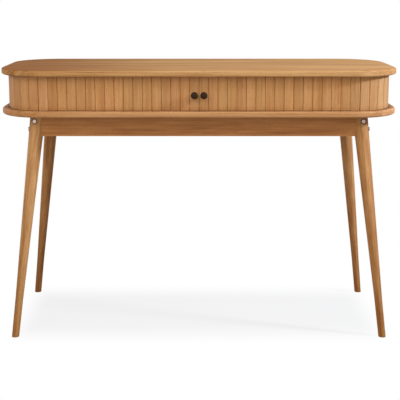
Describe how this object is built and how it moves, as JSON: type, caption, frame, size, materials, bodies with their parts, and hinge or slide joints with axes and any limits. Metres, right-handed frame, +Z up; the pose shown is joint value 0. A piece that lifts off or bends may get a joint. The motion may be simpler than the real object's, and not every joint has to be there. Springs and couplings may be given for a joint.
{
  "type": "tambour desk",
  "caption": "Narrow writing desk with rounded ends: a shallow slatted case closed by sliding tambour doors with small knobs, on splayed tapered legs.",
  "frame": {"origin": "on the floor, under the middle of the desk", "axes": "+X along the front to the right, +Y from the front to the back, +Z up"},
  "size_m": [1.19, 0.45, 0.812],
  "materials": {
    "oak": "satin oil",
    "plywood": "satin lacquer",
    "canvas": "plain weave",
    "black_enamel": "satin",
    "zinc_steel": "zinc plated"
  },
  "bodies": {
    "desk": {"top_board": "oak", "lower_board": "oak", "back_panel": "plywood", "left_liner": "plywood", "right_liner": "plywood", "centre_divider": "plywood", "front_apron": "oak", "back_apron": "oak", "left_apron": "oak", "right_apron": "oak", "front_left_leg": "oak", "front_right_leg": "oak", "back_left_leg": "oak", "back_right_leg": "oak", "leg_bolts": "zinc_steel", "barrel_nuts": "zinc_steel"},
    "left_door": {"left_lead_slat": "oak", "left_front_slats": "oak", "left_knob": "black_enamel", "left_canvas": "canvas"},
    "left_slat_12": {"left_slat_12": "oak"},
    "left_slat_13": {"left_slat_13": "oak"},
    "left_slat_14": {"left_slat_14": "oak"},
    "left_slat_15": {"left_slat_15": "oak"},
    "left_slat_16": {"left_slat_16": "oak"},
    "left_slat_17": {"left_slat_17": "oak"},
    "left_slat_18": {"left_slat_18": "oak"},
    "left_slat_19": {"left_slat_19": "oak"},
    "left_slat_20": {"left_slat_20": "oak"},
    "left_slat_21": {"left_slat_21": "oak"},
    "left_slat_22": {"left_slat_22": "oak"},
    "left_slat_23": {"left_slat_23": "oak"},
    "left_slat_24": {"left_slat_24": "oak"},
    "left_slat_25": {"left_slat_25": "oak"},
    "left_slat_26": {"left_slat_26": "oak"},
    "left_slat_27": {"left_slat_27": "oak"},
    "left_slat_28": {"left_slat_28": "oak"},
    "left_slat_29": {"left_slat_29": "oak"},
    "right_door": {"right_lead_slat": "oak", "right_front_slats": "oak", "right_knob": "black_enamel", "right_canvas": "canvas"},
    "right_slat_12": {"right_slat_12": "oak"},
    "right_slat_13": {"right_slat_13": "oak"},
    "right_slat_14": {"right_slat_14": "oak"},
    "right_slat_15": {"right_slat_15": "oak"},
    "right_slat_16": {"right_slat_16": "oak"},
    "right_slat_17": {"right_slat_17": "oak"},
    "right_slat_18": {"right_slat_18": "oak"},
    "right_slat_19": {"right_slat_19": "oak"},
    "right_slat_20": {"right_slat_20": "oak"},
    "right_slat_21": {"right_slat_21": "oak"},
    "right_slat_22": {"right_slat_22": "oak"},
    "right_slat_23": {"right_slat_23": "oak"},
    "right_slat_24": {"right_slat_24": "oak"},
    "right_slat_25": {"right_slat_25": "oak"},
    "right_slat_26": {"right_slat_26": "oak"},
    "right_slat_27": {"right_slat_27": "oak"},
    "right_slat_28": {"right_slat_28": "oak"},
    "right_slat_29": {"right_slat_29": "oak"}
  },
  "joints": [
    {"name": "left_door_slide", "type": "slide", "parent": "desk", "child": "left_door", "axis": [-1, 0, 0], "range_m": [0, 0.16546], "deforming": ["left_canvas"]},
    {"name": "left_slat_12_turn", "type": "hinge", "parent": "desk", "child": "left_slat_12", "pos_m": [-0.38706, 0.50609, 0.743], "axis": [0, 0, -1], "range_deg": [0, 13.46]},
    {"name": "left_slat_13_turn", "type": "hinge", "parent": "desk", "child": "left_slat_13", "pos_m": [-0.40085, 0.13865, 0.743], "axis": [0, 0, -1], "range_deg": [0, 27.96]},
    {"name": "left_slat_14_turn", "type": "hinge", "parent": "desk", "child": "left_slat_14", "pos_m": [-0.41464, 0.02209, 0.743], "axis": [0, 0, -1], "range_deg": [0, 42.45]},
    {"name": "left_slat_15_turn", "type": "hinge", "parent": "desk", "child": "left_slat_15", "pos_m": [-0.42843, -0.03431, 0.743], "axis": [0, 0, -1], "range_deg": [0, 56.95]},
    {"name": "left_slat_16_turn", "type": "hinge", "parent": "desk", "child": "left_slat_16", "pos_m": [-0.44222, -0.06644, 0.743], "axis": [0, 0, -1], "range_deg": [0, 71.44]},
    {"name": "left_slat_17_turn", "type": "hinge", "parent": "desk", "child": "left_slat_17", "pos_m": [-0.45601, -0.08593, 0.743], "axis": [0, 0, -1], "range_deg": [0, 85.94]},
    {"name": "left_slat_18_turn", "type": "hinge", "parent": "desk", "child": "left_slat_18", "pos_m": [-0.44443, -0.07709, 0.743], "axis": [0, 0, -1], "range_deg": [0, 76.56]},
    {"name": "left_slat_19_turn", "type": "hinge", "parent": "desk", "child": "left_slat_19", "pos_m": [-0.41759, -0.0633, 0.743], "axis": [0, 0, -1], "range_deg": [0, 62.06]},
    {"name": "left_slat_20_turn", "type": "hinge", "parent": "desk", "child": "left_slat_20", "pos_m": [-0.37191, -0.04951, 0.743], "axis": [0, 0, -1], "range_deg": [0, 47.57]},
    {"name": "left_slat_21_turn", "type": "hinge", "parent": "desk", "child": "left_slat_21", "pos_m": [-0.28423, -0.03572, 0.743], "axis": [0, 0, -1], "range_deg": [0, 33.07]},
    {"name": "left_slat_22_turn", "type": "hinge", "parent": "desk", "child": "left_slat_22", "pos_m": [-0.05895, -0.02193, 0.743], "axis": [0, 0, -1], "range_deg": [0, 18.58]},
    {"name": "left_slat_23_turn", "type": "hinge", "parent": "desk", "child": "left_slat_23", "pos_m": [1.7611, -0.00814, 0.743], "axis": [0, 0, -1], "range_deg": [0, 4.08]},
    {"name": "left_slat_24_turn", "type": "hinge", "parent": "desk", "child": "left_slat_24", "pos_m": [1.03035, 0.00991, 0.743], "axis": [0, 0, -1], "range_deg": [0, 5.94]},
    {"name": "left_slat_25_turn", "type": "hinge", "parent": "desk", "child": "left_slat_25", "pos_m": [-0.10572, 0.0237, 0.743], "axis": [0, 0, -1], "range_deg": [0, 20.44]},
    {"name": "left_slat_26_turn", "type": "hinge", "parent": "desk", "child": "left_slat_26", "pos_m": [-0.29962, 0.03749, 0.743], "axis": [0, 0, -1], "range_deg": [0, 34.94]},
    {"name": "left_slat_27_turn", "type": "hinge", "parent": "desk", "child": "left_slat_27", "pos_m": [-0.37937, 0.05128, 0.743], "axis": [0, 0, -1], "range_deg": [0, 49.43]},
    {"name": "left_slat_28_turn", "type": "hinge", "parent": "desk", "child": "left_slat_28", "pos_m": [-0.42184, 0.06507, 0.743], "axis": [0, 0, -1], "range_deg": [0, 63.93]},
    {"name": "left_slat_29_turn", "type": "hinge", "parent": "desk", "child": "left_slat_29", "pos_m": [-0.44702, 0.07886, 0.743], "axis": [0, 0, -1], "range_deg": [0, 78.42]},
    {"name": "right_door_slide", "type": "slide", "parent": "desk", "child": "right_door", "axis": [1, 0, 0], "range_m": [0, 0.16546], "deforming": ["right_canvas"]},
    {"name": "right_slat_12_turn", "type": "hinge", "parent": "desk", "child": "right_slat_12", "pos_m": [0.38706, 0.50609, 0.743], "axis": [0, 0, 1], "range_deg": [0, 13.46]},
    {"name": "right_slat_13_turn", "type": "hinge", "parent": "desk", "child": "right_slat_13", "pos_m": [0.40085, 0.13865, 0.743], "axis": [0, 0, 1], "range_deg": [0, 27.96]},
    {"name": "right_slat_14_turn", "type": "hinge", "parent": "desk", "child": "right_slat_14", "pos_m": [0.41464, 0.02209, 0.743], "axis": [0, 0, 1], "range_deg": [0, 42.45]},
    {"name": "right_slat_15_turn", "type": "hinge", "parent": "desk", "child": "right_slat_15", "pos_m": [0.42843, -0.03431, 0.743], "axis": [0, 0, 1], "range_deg": [0, 56.95]},
    {"name": "right_slat_16_turn", "type": "hinge", "parent": "desk", "child": "right_slat_16", "pos_m": [0.44222, -0.06644, 0.743], "axis": [0, 0, 1], "range_deg": [0, 71.44]},
    {"name": "right_slat_17_turn", "type": "hinge", "parent": "desk", "child": "right_slat_17", "pos_m": [0.45601, -0.08593, 0.743], "axis": [0, 0, 1], "range_deg": [0, 85.94]},
    {"name": "right_slat_18_turn", "type": "hinge", "parent": "desk", "child": "right_slat_18", "pos_m": [0.44443, -0.07709, 0.743], "axis": [0, 0, 1], "range_deg": [0, 76.56]},
    {"name": "right_slat_19_turn", "type": "hinge", "parent": "desk", "child": "right_slat_19", "pos_m": [0.41759, -0.0633, 0.743], "axis": [0, 0, 1], "range_deg": [0, 62.06]},
    {"name": "right_slat_20_turn", "type": "hinge", "parent": "desk", "child": "right_slat_20", "pos_m": [0.37191, -0.04951, 0.743], "axis": [0, 0, 1], "range_deg": [0, 47.57]},
    {"name": "right_slat_21_turn", "type": "hinge", "parent": "desk", "child": "right_slat_21", "pos_m": [0.28423, -0.03572, 0.743], "axis": [0, 0, 1], "range_deg": [0, 33.07]},
    {"name": "right_slat_22_turn", "type": "hinge", "parent": "desk", "child": "right_slat_22", "pos_m": [0.05895, -0.02193, 0.743], "axis": [0, 0, 1], "range_deg": [0, 18.58]},
    {"name": "right_slat_23_turn", "type": "hinge", "parent": "desk", "child": "right_slat_23", "pos_m": [-1.7611, -0.00814, 0.743], "axis": [0, 0, 1], "range_deg": [0, 4.08]},
    {"name": "right_slat_24_turn", "type": "hinge", "parent": "desk", "child": "right_slat_24", "pos_m": [-1.03035, 0.00991, 0.743], "axis": [0, 0, 1], "range_deg": [0, 5.94]},
    {"name": "right_slat_25_turn", "type": "hinge", "parent": "desk", "child": "right_slat_25", "pos_m": [0.10572, 0.0237, 0.743], "axis": [0, 0, 1], "range_deg": [0, 20.44]},
    {"name": "right_slat_26_turn", "type": "hinge", "parent": "desk", "child": "right_slat_26", "pos_m": [0.29962, 0.03749, 0.743], "axis": [0, 0, 1], "range_deg": [0, 34.94]},
    {"name": "right_slat_27_turn", "type": "hinge", "parent": "desk", "child": "right_slat_27", "pos_m": [0.37937, 0.05128, 0.743], "axis": [0, 0, 1], "range_deg": [0, 49.43]},
    {"name": "right_slat_28_turn", "type": "hinge", "parent": "desk", "child": "right_slat_28", "pos_m": [0.42184, 0.06507, 0.743], "axis": [0, 0, 1], "range_deg": [0, 63.93]},
    {"name": "right_slat_29_turn", "type": "hinge", "parent": "desk", "child": "right_slat_29", "pos_m": [0.44702, 0.07886, 0.743], "axis": [0, 0, 1], "range_deg": [0, 78.42]}
  ],
  "couplings": [
    {"joint": "left_slat_12_turn", "follows": "left_door_slide", "rad_per_m": 1.4188},
    {"joint": "left_slat_13_turn", "follows": "left_door_slide", "rad_per_m": 2.9478},
    {"joint": "left_slat_14_turn", "follows": "left_door_slide", "rad_per_m": 4.4769},
    {"joint": "left_slat_15_turn", "follows": "left_door_slide", "rad_per_m": 6.0059},
    {"joint": "left_slat_16_turn", "follows": "left_door_slide", "rad_per_m": 7.535},
    {"joint": "left_slat_17_turn", "follows": "left_door_slide", "rad_per_m": 9.064},
    {"joint": "left_slat_18_turn", "follows": "left_door_slide", "rad_per_m": 8.0748},
    {"joint": "left_slat_19_turn", "follows": "left_door_slide", "rad_per_m": 6.5457},
    {"joint": "left_slat_20_turn", "follows": "left_door_slide", "rad_per_m": 5.0167},
    {"joint": "left_slat_21_turn", "follows": "left_door_slide", "rad_per_m": 3.4876},
    {"joint": "left_slat_22_turn", "follows": "left_door_slide", "rad_per_m": 1.9586},
    {"joint": "left_slat_23_turn", "follows": "left_door_slide", "rad_per_m": 0.42955},
    {"joint": "left_slat_24_turn", "follows": "left_door_slide", "rad_per_m": 0.62591},
    {"joint": "left_slat_25_turn", "follows": "left_door_slide", "rad_per_m": 2.155},
    {"joint": "left_slat_26_turn", "follows": "left_door_slide", "rad_per_m": 3.684},
    {"joint": "left_slat_27_turn", "follows": "left_door_slide", "rad_per_m": 5.2131},
    {"joint": "left_slat_28_turn", "follows": "left_door_slide", "rad_per_m": 6.7421},
    {"joint": "left_slat_29_turn", "follows": "left_door_slide", "rad_per_m": 8.2711},
    {"joint": "right_slat_12_turn", "follows": "right_door_slide", "rad_per_m": 1.4188},
    {"joint": "right_slat_13_turn", "follows": "right_door_slide", "rad_per_m": 2.9478},
    {"joint": "right_slat_14_turn", "follows": "right_door_slide", "rad_per_m": 4.4769},
    {"joint": "right_slat_15_turn", "follows": "right_door_slide", "rad_per_m": 6.0059},
    {"joint": "right_slat_16_turn", "follows": "right_door_slide", "rad_per_m": 7.535},
    {"joint": "right_slat_17_turn", "follows": "right_door_slide", "rad_per_m": 9.064},
    {"joint": "right_slat_18_turn", "follows": "right_door_slide", "rad_per_m": 8.0748},
    {"joint": "right_slat_19_turn", "follows": "right_door_slide", "rad_per_m": 6.5457},
    {"joint": "right_slat_20_turn", "follows": "right_door_slide", "rad_per_m": 5.0167},
    {"joint": "right_slat_21_turn", "follows": "right_door_slide", "rad_per_m": 3.4876},
    {"joint": "right_slat_22_turn", "follows": "right_door_slide", "rad_per_m": 1.9586},
    {"joint": "right_slat_23_turn", "follows": "right_door_slide", "rad_per_m": 0.42955},
    {"joint": "right_slat_24_turn", "follows": "right_door_slide", "rad_per_m": 0.62591},
    {"joint": "right_slat_25_turn", "follows": "right_door_slide", "rad_per_m": 2.155},
    {"joint": "right_slat_26_turn", "follows": "right_door_slide", "rad_per_m": 3.684},
    {"joint": "right_slat_27_turn", "follows": "right_door_slide", "rad_per_m": 5.2131},
    {"joint": "right_slat_28_turn", "follows": "right_door_slide", "rad_per_m": 6.7421},
    {"joint": "right_slat_29_turn", "follows": "right_door_slide", "rad_per_m": 8.2711}
  ]
}
